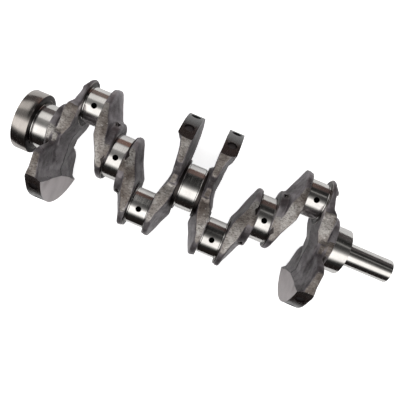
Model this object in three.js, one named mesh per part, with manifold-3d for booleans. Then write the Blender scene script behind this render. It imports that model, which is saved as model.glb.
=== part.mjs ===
// Forged crankshaft of an inline four-cylinder engine, lying with its crank plane level.
//
// +X runs along the crank axis from the flywheel flange to the front nose, +Y points to
// crankpins 1 and 4, and +Z is square to the crank plane. The origin is on the crank axis,
// midway between the flange face and the end of the nose. All sizes are in millimetres.
//
// A web is described in its own coordinates: u along the axis from the middle of the main
// journal towards the crankpin, v across towards the crankpin, and w square to the crank plane.

import * as THREE from 'three';
import { mergeVertices } from 'three/addons/utils/BufferGeometryUtils.js';
import Module from 'manifold-3d';

// ---- driving dimensions -------------------------------------------------------------

const BORE_PITCH = 100;
const THROW = 48.75;
const MAIN_DIAMETER = 60;
const MAIN_WIDTH = 24;
const PIN_DIAMETER = 48.75;
const PIN_WIDTH = 26;
const FRONT_JOURNAL_EXTRA = 1;

const FLANGE_DIAMETER = 80;
const FLANGE_THICKNESS = 20;
const FLANGE_EDGE = 1.25;
const FLANGE_BOLT_COUNT = 6;
const FLANGE_BOLT_CIRCLE = 58;
const FLANGE_BOLT_DIAMETER = 10;
const FLANGE_BOLT_DEPTH = 16;
const PILOT_SEAT_DIAMETER = 24;
const PILOT_SEAT_DEPTH = 15;
const PILOT_BORE_DIAMETER = 15;
const BUSH_RECESS = 1;
const DOWEL_DIAMETER = 8;
const DOWEL_LENGTH = 12;

const NOSE_DIAMETER = 30.5;
const NOSE_LENGTH = 64.5;
const NOSE_EDGE = 1.5;
const NOSE_BOLT_DIAMETER = 12;
const NOSE_BOLT_DEPTH = 34;
const NOSE_BOLT_EDGE = 1;
const KEY_WIDTH = 5;
const KEY_LENGTH = 26;
const KEY_HEIGHT = 7;
const KEY_DEPTH_IN_SHAFT = 4;
const KEY_FROM_END = 12;

const GROOVE_WIDTH = 2.25;
const GROOVE_DEPTH = 0.75;
const OIL_HOLE_DIAMETER = 7.5;
const GALLERY_DIAMETER = 5;
const PLUG_DIAMETER = 8;
const PLUG_LENGTH = 4;
const PLUG_PROUD = 0.75;
const PLUG_MOUTH = [18, 37, 16];
const PLUG_INWARD = [1, -0.42, -0.45];
const PLUG_DRILLING_END = 24;

const WEB_HALF_WIDTH = 37;
const WEB_LOW_END = -35.5;
const MAIN_COLLAR_RADIUS = 34;
const PIN_COLLAR_RADIUS = 30.5;
const COLLAR_HEIGHT = 1.25;
const COLLAR_ROOT = 5;
const PIN_END_REACH = 80.5;
const PIN_END_EDGE = [1.5, 4];
const BROAD_PIN_END_RADIUS = 37.75;
const NARROW_PIN_END_RADIUS = 32;
const BOSS_RADIUS = 35.5;
const PLAIN_BOSS_OFFSET = 8;
const OUTER_BOSS_OFFSET = 3;
const NARROW_PIN_END_START = 40;
const BOSS_START = 9;
const LUG_HALF_WIDTH = 9;
const LUG_VIEW = [[23, 64.5], [30, 61], [33, 76], [30, 75], [24.3, 68]];

// How far a cheek falls back from its ridge, and the points its sloping facets pass through.
const DRAFT_HALF_WIDTH = 36;
const MAIN_RIDGE_TOP = 43;
const MAIN_FACET_HEIGHT = 10;
const MAIN_DRAFT = 4.75;
const OUTER_MAIN_DRAFT = 5.75;
const SLANT_RIDGE_TOP = [28.5, 79.5];
const SLANT_FACET_EDGE = [28, 39];
const TAPER_RIDGE_TOP_HEIGHT = 12;
const TAPER_FACET_EDGE = [28, 4];

const COUNTERWEIGHT_RADIUS = 89;
const COUNTERWEIGHT_HALF_WIDTH = 70;
const COUNTERWEIGHT_SHOULDER = 27;
const NECK_HEIGHT = 8;
const SHOULDER_CURVE = [[-18, 37], [-15, 64]];
const COUNTERWEIGHT_INSET = 5.5;
const RIM_TOP = 50;
const BODY_THICKNESS = 14.5;
const BODY_DRAFT = 3;
const BALANCE_HOLE_DIAMETER = 12.5;
// Each balance hole's angle in degrees from the middle of the rim towards +Z, and its depth.
const BALANCE_HOLES = [[-40, 2], [-17, 13], [17, 13], [40, 2]];

const CLEARANCE = 0.3;
const CUT_BEYOND = 1;
const CUTTER_SIZE = 400;
const WELD_DISTANCE = 1e-4;
const ROUND_SEGMENTS = 32;
const OUTLINE_SEGMENTS = 8;
const SMALL_SEGMENTS = 10;

// ---- worked-out dimensions ----------------------------------------------------------

const MAIN_RADIUS = MAIN_DIAMETER / 2;
const PIN_RADIUS = PIN_DIAMETER / 2;
const WEB_START = MAIN_WIDTH / 2;
const WEB_END = (BORE_PITCH - PIN_WIDTH) / 2;
const MAIN_CHEEK = WEB_START + COLLAR_HEIGHT;
const PIN_CHEEK = WEB_END - COLLAR_HEIGHT;
const FLANGE_FRONT = -2 * BORE_PITCH - WEB_START;
const FLANGE_REAR = FLANGE_FRONT - FLANGE_THICKNESS;
const NOSE_START = 2 * BORE_PITCH + WEB_START + FRONT_JOURNAL_EXTRA;
const NOSE_END = NOSE_START + NOSE_LENGTH;
const AXIS_SHIFT = -(FLANGE_REAR + NOSE_END) / 2;
const RIM_ANGLE = Math.asin(COUNTERWEIGHT_HALF_WIDTH / COUNTERWEIGHT_RADIUS);

const X = new THREE.Vector3(1, 0, 0);
const Y = new THREE.Vector3(0, 1, 0);
const Z = new THREE.Vector3(0, 0, 1);

const wasm = await Module();
wasm.setup();

// ---- materials ----------------------------------------------------------------------

const groundSteel = new THREE.MeshStandardMaterial({ color: 0xb9b6b1, roughness: 0.18, metalness: 1 });
const sealSteel = new THREE.MeshStandardMaterial({ color: 0xa9a6a1, roughness: 0.26, metalness: 1 });
const forgedSteel = new THREE.MeshStandardMaterial({ color: 0x56514d, roughness: 0.6, metalness: 0.9 });
const plugSteel = new THREE.MeshStandardMaterial({ color: 0x8c8984, roughness: 0.4, metalness: 1 });
const bushBronze = new THREE.MeshStandardMaterial({ color: 0xa9793f, roughness: 0.42, metalness: 1 });
const dowelSteel = new THREE.MeshStandardMaterial({ color: 0x9a9894, roughness: 0.3, metalness: 1 });
const keySteel = new THREE.MeshStandardMaterial({ color: 0x7d7b78, roughness: 0.45, metalness: 1 });

// ---- solids from three.js geometry ----------------------------------------------------

function solid(geometry) {
  geometry.deleteAttribute('normal');
  geometry.deleteAttribute('uv');
  const merged = mergeVertices(geometry, WELD_DISTANCE);
  const mesh = new wasm.Mesh({
    numProp: 3,
    vertProperties: new Float32Array(merged.attributes.position.array),
    triVerts: new Uint32Array(merged.index.array),
  });
  return new wasm.Manifold(mesh);
}

function geometryOf(body) {
  const mesh = body.getMesh();
  const geometry = new THREE.BufferGeometry();
  geometry.setAttribute('position', new THREE.BufferAttribute(mesh.vertProperties, mesh.numProp));
  geometry.setIndex(new THREE.BufferAttribute(mesh.triVerts, 1));
  const facets = geometry.toNonIndexed();
  facets.computeVertexNormals();
  return facets;
}

// A turned piece about the X axis, from a profile of [x, radius] pairs.
function turned(profile, segments = ROUND_SEGMENTS) {
  const points = profile.map(([x, radius]) => new THREE.Vector2(radius, x));
  return solid(new THREE.LatheGeometry(points, segments).rotateZ(-Math.PI / 2));
}

// A round bar between two points.
function bar(from, to, diameter, segments = SMALL_SEGMENTS) {
  const along = to.clone().sub(from);
  const geometry = new THREE.CylinderGeometry(diameter / 2, diameter / 2, along.length(), segments);
  geometry.applyQuaternion(new THREE.Quaternion().setFromUnitVectors(Y, along.clone().normalize()));
  const middle = from.clone().add(to).multiplyScalar(0.5);
  return solid(geometry.translate(middle.x, middle.y, middle.z));
}

// An outline in the v, w plane, extruded along u.
function slab(shape, uStart, uEnd) {
  const geometry = new THREE.ExtrudeGeometry(shape, {
    depth: uEnd - uStart,
    bevelEnabled: false,
    curveSegments: OUTLINE_SEGMENTS,
  });
  geometry.applyMatrix4(new THREE.Matrix4().makeBasis(Y, Z, X));
  return solid(geometry.translate(uStart, 0, 0));
}

// A side view in the u, v plane, extruded both ways along w.
function sideProfile(points, halfWidth) {
  const shape = new THREE.Shape(points.map(([u, v]) => new THREE.Vector2(u, v)));
  const geometry = new THREE.ExtrudeGeometry(shape, { depth: 2 * halfWidth, bevelEnabled: false });
  return solid(geometry.translate(0, 0, -halfWidth));
}

// A large block lying on the plane through a ridge and one point off it, on the side that
// `outward` points to. Taking it away leaves a sloping facet on each side of the ridge.
function facetCutter(ridgeStart, ridgeEnd, offRidge, outward) {
  const normal = new THREE.Plane().setFromCoplanarPoints(ridgeStart, ridgeEnd, offRidge).normal;
  if (normal.dot(outward) < 0) normal.negate();
  const geometry = new THREE.BoxGeometry(CUTTER_SIZE, CUTTER_SIZE, CUTTER_SIZE);
  geometry.applyQuaternion(new THREE.Quaternion().setFromUnitVectors(Z, normal));
  const centre = ridgeStart.clone().addScaledVector(normal, CUTTER_SIZE / 2);
  return solid(geometry.translate(centre.x, centre.y, centre.z));
}

function withFacets(body, [startU, startV], [endU, endV], [offU, offV, offW], outward) {
  let cut = body;
  for (const side of [1, -1]) {
    const ridgeStart = new THREE.Vector3(startU, startV, 0);
    const ridgeEnd = new THREE.Vector3(endU, endV, 0);
    const offRidge = new THREE.Vector3(offU, offV, side * offW);
    cut = cut.subtract(facetCutter(ridgeStart, ridgeEnd, offRidge, outward));
  }
  return cut;
}

// ---- the crankshaft and its named pieces ------------------------------------------------

const group = new THREE.Group();
const shaft = new THREE.Group();
shaft.position.x = AXIS_SHIFT;
group.add(shaft);

function add(name, body, material, x = 0) {
  const mesh = new THREE.Mesh(geometryOf(body), material);
  mesh.name = name;
  mesh.position.x = x;
  shaft.add(mesh);
}

const pinSide = (cylinder) => (cylinder === 1 || cylinder === 4 ? 1 : -1);
const mainCentre = (number) => (number - 3) * BORE_PITCH;
const pinCentre = (number) => (number - 2.5) * BORE_PITCH;

// ---- journals -------------------------------------------------------------------------

// A ground cylinder with a rolled fillet groove where it meets a web. An end that meets the
// nose has no groove: its face is an open shoulder round the foot of the nose.
function journal(radius, start, end, meetsNose = false) {
  const low = radius - GROOVE_DEPTH;
  const profile = [[start, 0], [start, low], [start + GROOVE_WIDTH, low], [start + GROOVE_WIDTH, radius]];
  if (meetsNose) profile.push([end, radius], [end, NOSE_DIAMETER / 2]);
  else profile.push([end - GROOVE_WIDTH, radius], [end - GROOVE_WIDTH, low], [end, low]);
  profile.push([end, 0]);
  return turned(profile);
}

// The oil hole faces +Z and runs down to the middle of the journal.
function oilHole(radius, v) {
  const bottom = new THREE.Vector3(0, v, -GALLERY_DIAMETER / 2);
  const top = new THREE.Vector3(0, v, radius + CUT_BEYOND);
  return bar(bottom, top, OIL_HOLE_DIAMETER);
}

// The inclined drilling that joins a main journal's oil hole to a crankpin's.
function gallery(direction, side) {
  const main = new THREE.Vector3(0, 0, 0);
  const pin = new THREE.Vector3((direction * BORE_PITCH) / 2, side * THROW, 0);
  return bar(main, pin, GALLERY_DIAMETER);
}

function buildMainJournals() {
  for (let number = 1; number <= 5; number += 1) {
    const start = -WEB_START;
    const end = WEB_START + (number === 5 ? FRONT_JOURNAL_EXTRA : 0);
    let body = journal(MAIN_RADIUS, start, end, number === 5);
    if (number === 2 || number === 4) {
      body = body.subtract(oilHole(MAIN_RADIUS, 0));
      body = body.subtract(gallery(-1, pinSide(number - 1)));
      body = body.subtract(gallery(1, pinSide(number)));
    }
    add(`main_journal_${number}`, body, groundSteel, mainCentre(number));
  }
}

function buildCrankpins() {
  for (let number = 1; number <= 4; number += 1) {
    const v = pinSide(number) * THROW;
    const half = PIN_WIDTH / 2;
    const fedFrom = number < 3 ? 2 : 4;
    const direction = number >= fedFrom ? 1 : -1;
    let body = journal(PIN_RADIUS, -half, half).translate([0, v, 0]);
    body = body.subtract(oilHole(PIN_RADIUS, v));
    const drilling = gallery(direction, pinSide(number));
    body = body.subtract(drilling.translate([mainCentre(fedFrom) - pinCentre(number), 0, 0]));
    add(`crankpin_${number}`, body, groundSteel, pinCentre(number));
  }
}

// ---- webs -----------------------------------------------------------------------------

// Seen along the axis: a round end about the main journal, straight sides and a round end
// beyond the crankpin.
function armOutline(pinEndRadius) {
  const pinEndCentre = PIN_END_REACH - pinEndRadius;
  const pinEndAngle = Math.asin(Math.min(1, WEB_HALF_WIDTH / pinEndRadius));
  const lowCentre = WEB_LOW_END + WEB_HALF_WIDTH;
  const shape = new THREE.Shape();
  shape.absarc(lowCentre, 0, WEB_HALF_WIDTH, Math.PI / 2, (3 * Math.PI) / 2, false);
  if (pinEndRadius < WEB_HALF_WIDTH) shape.lineTo(NARROW_PIN_END_START, -WEB_HALF_WIDTH);
  shape.absarc(pinEndCentre, 0, pinEndRadius, -pinEndAngle, pinEndAngle, false);
  if (pinEndRadius < WEB_HALF_WIDTH) shape.lineTo(NARROW_PIN_END_START, WEB_HALF_WIDTH);
  return shape;
}

const TO_MAIN = new THREE.Vector3(-1, 0, 0);
const TO_PIN = new THREE.Vector3(1, 0, 0);

// Side views of an arm's two cheeks, from the low end up for the crankpin's side and from
// the top down for the main journal's side.
const TAPER_LOW_END = [18, WEB_LOW_END];
const TAPERED_PIN_SIDE = [TAPER_LOW_END, [24.5, -23], [PIN_CHEEK, TAPER_RIDGE_TOP_HEIGHT]];
const NECKED_PIN_SIDE = [[28, WEB_LOW_END], [28, -12], [PIN_CHEEK, 12]];
const FULL_PIN_SIDE = [[31, WEB_LOW_END], [31, -10], [PIN_CHEEK, 9]];
const SLANTED_MAIN_SIDE = [[29, PIN_END_REACH], [14.5, 46], [MAIN_CHEEK, MAIN_RIDGE_TOP]];
const STEPPED_MAIN_SIDE = [
  [33, PIN_END_REACH],
  [29.5, 72],
  [27.5, 58],
  [25.5, 47],
  [20.5, 39],
  [MAIN_CHEEK, 36],
];

function arm(pinSideView, mainSideView, pinEndRadius) {
  const [edgeDepth, edgeHeight] = PIN_END_EDGE;
  const tip = [[PIN_CHEEK, PIN_END_REACH - edgeHeight], [PIN_CHEEK - edgeDepth, PIN_END_REACH]];
  const view = [[MAIN_CHEEK, WEB_LOW_END], ...pinSideView, ...tip, ...mainSideView];
  const body = slab(armOutline(pinEndRadius), WEB_START, WEB_END);
  return body.intersect(sideProfile(view, WEB_HALF_WIDTH + CUT_BEYOND));
}

// A cheek has a ridge in the crank plane and falls away from it, as a forging leaves its die.
function draftMainSide(body, depth) {
  const edge = [MAIN_CHEEK + depth, MAIN_FACET_HEIGHT, DRAFT_HALF_WIDTH];
  return withFacets(body, [MAIN_CHEEK, 0], [MAIN_CHEEK, MAIN_RIDGE_TOP], edge, TO_MAIN);
}

function draftSlantedSide(body) {
  const edge = [...SLANT_FACET_EDGE, DRAFT_HALF_WIDTH];
  return withFacets(body, [MAIN_CHEEK, MAIN_RIDGE_TOP], SLANT_RIDGE_TOP, edge, TO_MAIN);
}

function draftPinSide(body) {
  const edge = [...TAPER_FACET_EDGE, DRAFT_HALF_WIDTH];
  return withFacets(body, TAPER_LOW_END, [PIN_CHEEK, TAPER_RIDGE_TOP_HEIGHT], edge, TO_PIN);
}

function plainArm() {
  const body = arm(TAPERED_PIN_SIDE, SLANTED_MAIN_SIDE, BROAD_PIN_END_RADIUS);
  return draftPinSide(draftSlantedSide(draftMainSide(body, MAIN_DRAFT)));
}

// Next to the middle main journal, with a counterweight.
function middleArm() {
  const body = arm(NECKED_PIN_SIDE, SLANTED_MAIN_SIDE, BROAD_PIN_END_RADIUS);
  return draftSlantedSide(draftMainSide(body, MAIN_DRAFT));
}

// The first and last arms step in to a thin round end about the crankpin.
function outerArm() {
  const body = arm(FULL_PIN_SIDE, STEPPED_MAIN_SIDE, NARROW_PIN_END_RADIUS);
  return draftMainSide(body, OUTER_MAIN_DRAFT);
}

function disc(start, end, radius, v) {
  const profile = [[start, 0], [start, radius], [end, radius], [end, 0]];
  return turned(profile).translate([0, v, 0]);
}

// The raised, faced rings that the bearings run against.
function collars() {
  const mainCollar = disc(WEB_START, WEB_START + COLLAR_ROOT, MAIN_COLLAR_RADIUS, 0);
  return mainCollar.add(disc(WEB_END - COLLAR_ROOT, WEB_END, PIN_COLLAR_RADIUS, THROW));
}

// The forged boss that stands over the end of the main journal on the crankpin's side.
function boss(offset) {
  const body = disc(BOSS_START, WEB_START + COLLAR_ROOT, BOSS_RADIUS, offset);
  return body.subtract(disc(0, WEB_START, MAIN_RADIUS + CLEARANCE, 0));
}

// The forged lug on the back of the crankpin end of the first and last webs.
function lug() {
  return sideProfile(LUG_VIEW, LUG_HALF_WIDTH);
}

// Seen along the axis: a neck, sloping shoulders, straight trimmed sides and a round rim.
function counterweightOutline() {
  const half = COUNTERWEIGHT_HALF_WIDTH;
  const shoulder = -COUNTERWEIGHT_SHOULDER;
  const [[firstV, firstW], [secondV, secondW]] = SHOULDER_CURVE;
  const shape = new THREE.Shape();
  shape.moveTo(0, WEB_HALF_WIDTH);
  shape.lineTo(-NECK_HEIGHT, WEB_HALF_WIDTH);
  shape.bezierCurveTo(firstV, firstW, secondV, secondW, shoulder, half);
  shape.absarc(0, 0, COUNTERWEIGHT_RADIUS, Math.PI - RIM_ANGLE, Math.PI + RIM_ANGLE, false);
  shape.lineTo(shoulder, -half);
  shape.bezierCurveTo(secondV, -secondW, firstV, -firstW, -NECK_HEIGHT, -WEB_HALF_WIDTH);
  shape.lineTo(0, -WEB_HALF_WIDTH);
  return shape;
}

// The full-thickness band under the rim, bounded above by a shallow roof line.
function rimOutline() {
  const corner = COUNTERWEIGHT_RADIUS * Math.cos(RIM_ANGLE);
  const shape = new THREE.Shape();
  shape.moveTo(-RIM_TOP, 0);
  shape.lineTo(-corner, COUNTERWEIGHT_HALF_WIDTH);
  shape.absarc(0, 0, COUNTERWEIGHT_RADIUS, Math.PI - RIM_ANGLE, Math.PI + RIM_ANGLE, false);
  return shape;
}

function counterweight() {
  const start = WEB_START + COUNTERWEIGHT_INSET;
  const body = slab(counterweightOutline(), start, start + BODY_THICKNESS);
  const end = start + BODY_THICKNESS;
  const corner = [end - BODY_DRAFT, -RIM_TOP, COUNTERWEIGHT_HALF_WIDTH];
  const drafted = withFacets(body, [end, 0], [end, -RIM_TOP], corner, TO_PIN);
  return drafted.add(slab(rimOutline(), start, WEB_END));
}

// Radial drillings in the rim that balance the shaft.
function balanceHoles() {
  const u = (WEB_START + COUNTERWEIGHT_INSET + WEB_END) / 2;
  const holes = BALANCE_HOLES.map(([degrees, depth]) => {
    const angle = THREE.MathUtils.degToRad(degrees);
    const outward = new THREE.Vector3(0, -Math.cos(angle), Math.sin(angle));
    const mouth = outward.clone().multiplyScalar(COUNTERWEIGHT_RADIUS + CUT_BEYOND).setX(u);
    const bottom = outward.clone().multiplyScalar(COUNTERWEIGHT_RADIUS - depth).setX(u);
    return bar(bottom, mouth, BALANCE_HOLE_DIAMETER);
  });
  return holes.reduce((all, hole) => all.add(hole));
}

// The plug's seat is on the arm's sloping cheek, above the main journal's collar.
const plugMouth = new THREE.Vector3(...PLUG_MOUTH);
const plugInward = new THREE.Vector3(...PLUG_INWARD).normalize();

function plugBar() {
  const mouth = plugMouth.clone().addScaledVector(plugInward, -PLUG_PROUD);
  const bottom = plugMouth.clone().addScaledVector(plugInward, PLUG_LENGTH);
  return bar(mouth, bottom, PLUG_DIAMETER);
}

function plugSeat() {
  const outside = plugMouth.clone().addScaledVector(plugInward, -PLUG_LENGTH);
  const floor = plugMouth.clone().addScaledVector(plugInward, PLUG_LENGTH + CLEARANCE);
  const seat = bar(outside, floor, PLUG_DIAMETER + 2 * CLEARANCE);
  const meetingV = (PLUG_DRILLING_END * 2 * THROW) / BORE_PITCH;
  const meeting = new THREE.Vector3(PLUG_DRILLING_END, meetingV, 0);
  return seat.add(bar(plugMouth, meeting, GALLERY_DIAMETER));
}

// A web built about main journal `main`, towards the crankpin on its +u side; direction
// and side mirror it to where it belongs.
function placed(body, direction, side) {
  return body.scale([direction, side, 1]);
}

function buildWebs() {
  const drillings = gallery(1, 1).add(plugSeat());
  const plain = plainArm().add(collars()).add(boss(PLAIN_BOSS_OFFSET)).subtract(drillings);
  const weight = counterweight().add(collars()).subtract(balanceHoles());
  const middle = middleArm().add(weight);
  const outer = outerArm().add(weight).add(boss(OUTER_BOSS_OFFSET)).add(lug());
  const plug = plugBar();
  for (let number = 1; number <= 8; number += 1) {
    const cylinder = Math.ceil(number / 2);
    const direction = number % 2 === 1 ? 1 : -1;
    const main = number % 2 === 1 ? cylinder : cylinder + 1;
    const side = pinSide(cylinder);
    const x = mainCentre(main);
    if (main === 2 || main === 4) {
      add(`plain_web_${number}`, placed(plain, direction, side), forgedSteel, x);
      add(`gallery_plug_${cylinder}`, placed(plug, direction, side), plugSteel, x);
    } else {
      const weighted = main === 3 ? middle : outer;
      add(`counterweight_web_${number}`, placed(weighted, direction, side), forgedSteel, x);
    }
  }
}

// ---- rear flange, pilot bush and dowel --------------------------------------------------

function onBoltCircle(turns) {
  const angle = turns * 2 * Math.PI;
  const radius = FLANGE_BOLT_CIRCLE / 2;
  return new THREE.Vector3(0, radius * Math.cos(angle), radius * Math.sin(angle));
}

function flangeHole(turns, depth, diameter) {
  const mouth = onBoltCircle(turns).setX(FLANGE_REAR - CUT_BEYOND);
  const bottom = onBoltCircle(turns).setX(FLANGE_REAR + depth);
  return bar(mouth, bottom, diameter);
}

// The dowel sits between two bolt holes, so that the flywheel goes on one way round.
const DOWEL_TURNS = 0.5 / FLANGE_BOLT_COUNT;

function buildFlange() {
  const radius = FLANGE_DIAMETER / 2;
  const seat = PILOT_SEAT_DIAMETER / 2;
  const seatFloor = FLANGE_REAR + PILOT_SEAT_DEPTH;
  let body = turned([
    [seatFloor, 0],
    [seatFloor, seat],
    [FLANGE_REAR, seat],
    [FLANGE_REAR, radius - FLANGE_EDGE],
    [FLANGE_REAR + FLANGE_EDGE, radius],
    [FLANGE_FRONT - FLANGE_EDGE, radius],
    [FLANGE_FRONT, radius - FLANGE_EDGE],
    [FLANGE_FRONT, 0],
  ]);
  for (let index = 0; index < FLANGE_BOLT_COUNT; index += 1) {
    const turns = index / FLANGE_BOLT_COUNT;
    body = body.subtract(flangeHole(turns, FLANGE_BOLT_DEPTH, FLANGE_BOLT_DIAMETER));
  }
  const dowelSeat = DOWEL_LENGTH + CLEARANCE;
  body = body.subtract(flangeHole(DOWEL_TURNS, dowelSeat, DOWEL_DIAMETER + 2 * CLEARANCE));
  add('rear_flange', body, sealSteel);
}

function buildPilotBush() {
  const outer = PILOT_SEAT_DIAMETER / 2 - CLEARANCE;
  const inner = PILOT_BORE_DIAMETER / 2;
  const start = FLANGE_REAR + BUSH_RECESS;
  const end = FLANGE_REAR + PILOT_SEAT_DEPTH - CLEARANCE;
  const ring = turned([
    [start, inner],
    [start, outer],
    [end, outer],
    [end, inner],
    [start, inner],
  ]);
  add('pilot_bush', ring, bushBronze);
}

function buildDowel() {
  const end = onBoltCircle(DOWEL_TURNS).setX(FLANGE_REAR + DOWEL_LENGTH);
  const start = onBoltCircle(DOWEL_TURNS).setX(FLANGE_REAR);
  add('flywheel_dowel', bar(start, end, DOWEL_DIAMETER), dowelSteel);
}

// ---- front nose and key -----------------------------------------------------------------

// The keyway is on the -Z side. Its ends are round, as the cutter leaves them.
function keyOutline(length, width) {
  const half = length / 2 - width / 2;
  const shape = new THREE.Shape();
  shape.absarc(half, 0, width / 2, -Math.PI / 2, Math.PI / 2, false);
  shape.absarc(-half, 0, width / 2, Math.PI / 2, (3 * Math.PI) / 2, false);
  return shape;
}

function keyBlock(gap, height) {
  const geometry = new THREE.ExtrudeGeometry(keyOutline(KEY_LENGTH + 2 * gap, KEY_WIDTH + 2 * gap), {
    depth: height,
    bevelEnabled: false,
    curveSegments: SMALL_SEGMENTS / 2,
  });
  const centre = NOSE_END - KEY_FROM_END - KEY_LENGTH / 2;
  const floor = -NOSE_DIAMETER / 2 + KEY_DEPTH_IN_SHAFT + gap;
  return solid(geometry.translate(centre, 0, floor - height));
}

function buildNose() {
  const radius = NOSE_DIAMETER / 2;
  const bolt = NOSE_BOLT_DIAMETER / 2;
  let body = turned([
    [NOSE_START, 0],
    [NOSE_START, radius],
    [NOSE_END - NOSE_EDGE, radius],
    [NOSE_END, radius - NOSE_EDGE],
    [NOSE_END, bolt + NOSE_BOLT_EDGE],
    [NOSE_END - NOSE_BOLT_EDGE, bolt],
    [NOSE_END - NOSE_BOLT_DEPTH, bolt],
    [NOSE_END - NOSE_BOLT_DEPTH - bolt / 2, 0],
  ]);
  body = body.subtract(keyBlock(CLEARANCE, KEY_HEIGHT + KEY_DEPTH_IN_SHAFT));
  add('front_nose', body, groundSteel);
  add('nose_key', keyBlock(0, KEY_HEIGHT), keySteel);
}

buildFlange();
buildPilotBush();
buildDowel();
buildMainJournals();
buildCrankpins();
buildWebs();
buildNose();

export default group;
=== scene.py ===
import math

import bmesh
import bpy
import numpy as np
from mathutils import Matrix, Vector


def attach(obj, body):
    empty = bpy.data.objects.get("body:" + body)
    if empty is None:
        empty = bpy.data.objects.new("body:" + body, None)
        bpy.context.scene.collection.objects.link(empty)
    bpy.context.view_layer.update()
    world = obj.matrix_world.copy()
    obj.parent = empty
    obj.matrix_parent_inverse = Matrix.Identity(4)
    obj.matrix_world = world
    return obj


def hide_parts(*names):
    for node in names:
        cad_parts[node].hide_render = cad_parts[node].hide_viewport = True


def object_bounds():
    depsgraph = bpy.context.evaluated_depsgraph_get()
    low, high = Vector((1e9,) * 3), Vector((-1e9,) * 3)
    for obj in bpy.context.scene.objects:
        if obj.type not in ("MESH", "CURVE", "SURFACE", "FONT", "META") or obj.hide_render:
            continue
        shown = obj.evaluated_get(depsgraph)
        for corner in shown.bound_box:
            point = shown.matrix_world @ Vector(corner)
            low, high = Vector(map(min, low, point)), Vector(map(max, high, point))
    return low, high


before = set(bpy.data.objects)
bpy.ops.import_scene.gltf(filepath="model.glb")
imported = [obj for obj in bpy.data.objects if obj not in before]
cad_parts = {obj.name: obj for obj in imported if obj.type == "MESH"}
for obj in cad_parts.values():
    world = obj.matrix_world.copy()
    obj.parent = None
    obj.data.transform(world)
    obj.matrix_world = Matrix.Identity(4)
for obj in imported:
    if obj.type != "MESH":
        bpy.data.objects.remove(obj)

CAD_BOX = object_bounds()
MM = 0.001

# ---- driving dimensions, in millimetres --------------------------------------------------

BORE_PITCH = 100.0
THROW = 48.75
MAIN_RADIUS = 30.0
PIN_RADIUS = 24.375
MAIN_HALF = 12.0
PIN_HALF = 13.0
WEB_START = 12.0
WEB_END = 37.0
COLLAR = 1.25
MAIN_COLLAR_RADIUS = 34.0
PIN_COLLAR_RADIUS = 30.5
PIN_RINGS = (29.0, 27.2)
COLLAR_ROOT = 3.0
GROOVE_WIDTH = 1.5
GROOVE_DEPTH = 0.75
OIL_HOLE_RADIUS = 3.75
WEB_HALF_WIDTH = 37.0
WEB_LOW_END = -35.5
BROAD_PIN_END_RADIUS = 37.75
NARROW_PIN_END_RADIUS = 32.0
NARROW_PIN_END_START = 40.0
TRIM_MIDDLE = 32.0
TRIM_CROWN = 0.0026
PIN_END_REACH = 80.5
COUNTERWEIGHT_RADIUS = 89.0
COUNTERWEIGHT_HALF = 70.0
COUNTERWEIGHT_SHOULDER = 54.97
NECK_TOP = -8.0
NECK_END = -27.0
FORGING_EXTRA = 4.0
RIM_MIDDLE = 27.25
BALANCE_RADIUS = 6.25
# Each balance hole's angle in degrees from the middle of the rim towards +Z, and its depth.
BALANCE_HOLES = [(-40, 2), (-17, 13), (17, 13), (40, 2)]
SHALLOW_HOLE = 6
FLANGE_RADIUS = 40.0
FLANGE_FRONT = -212.0
FLANGE_REAR = -232.0
FLANGE_BOLT_COUNT = 6
FLANGE_BOLT_CIRCLE_RADIUS = 29.0
FLANGE_BOLT_RADIUS = 5.0
FLANGE_BOLT_DEPTH = 16.0
DOWEL_SEAT_RADIUS = 4.3
DOWEL_SEAT_DEPTH = 12.3
PILOT_SEAT_RADIUS = 12.05
PILOT_SEAT_DEPTH = 15.0
NOSE_RADIUS = 15.25
NOSE_START = 213.0
NOSE_END = 277.5
NOSE_BOLT_DEPTH = 34.0
KEYWAY_LENGTH = 26.6
KEYWAY_WIDTH = 5.6
KEYWAY_DEPTH = 4.0
KEYWAY_MIDDLE = NOSE_END - 25.0
AXIS_SHIFT = -22.75

MAIN_X = [(n - 2) * BORE_PITCH for n in range(5)]
PIN_X = [(n - 1.5) * BORE_PITCH for n in range(4)]
PIN_SIDE = [1, -1, -1, 1]


# ---- fields: negative inside, in web coordinates u (along the axis), v, w -----------------

def polygon(points):
    """The signed distance to a closed outline in a plane."""
    p = np.array(points, float)
    q = np.roll(p, -1, axis=0)

    def distance(x, y):
        x, y = np.broadcast_arrays(x, y)
        best = np.full(x.shape, 1e9)
        inside = np.zeros(x.shape, bool)
        for (ax, ay), (bx, by) in zip(p, q):
            ex, ey = bx - ax, by - ay
            dx, dy = x - ax, y - ay
            t = np.clip((dx * ex + dy * ey) / max(ex * ex + ey * ey, 1e-12), 0, 1)
            best = np.minimum(best, (dx - t * ex) ** 2 + (dy - t * ey) ** 2)
            if ey != 0:
                crosses = (ay > y) != (by > y)
                inside ^= crosses & (x < ax + (y - ay) * ex / ey)
        return np.where(inside, -1, 1) * np.sqrt(best)

    return distance


def blend_min(a, b, k):
    h = np.maximum(k - np.abs(a - b), 0) / k
    return np.minimum(a, b) - h * h * k / 4


def blend_max(a, b, k):
    return -blend_min(-a, -b, k)


def ball(u, v, w, centre, radius, squash=(1, 1, 1)):
    cu, cv, cw = centre
    su, sv, sw = squash
    return np.sqrt(((u - cu) / su) ** 2 + ((v - cv) / sv) ** 2 + ((w - cw) / sw) ** 2) - radius


def drum(u, v, w, start, end, radius, offset, edge):
    """A round plate about a line along u, with its edges rounded."""
    side = np.sqrt((v - offset) ** 2 + w ** 2) - radius + edge
    ends = np.maximum(start - u, u - end) + edge
    outside = np.sqrt(np.maximum(side, 0) ** 2 + np.maximum(ends, 0) ** 2)
    return outside + np.minimum(np.maximum(side, ends), 0) - edge


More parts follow.
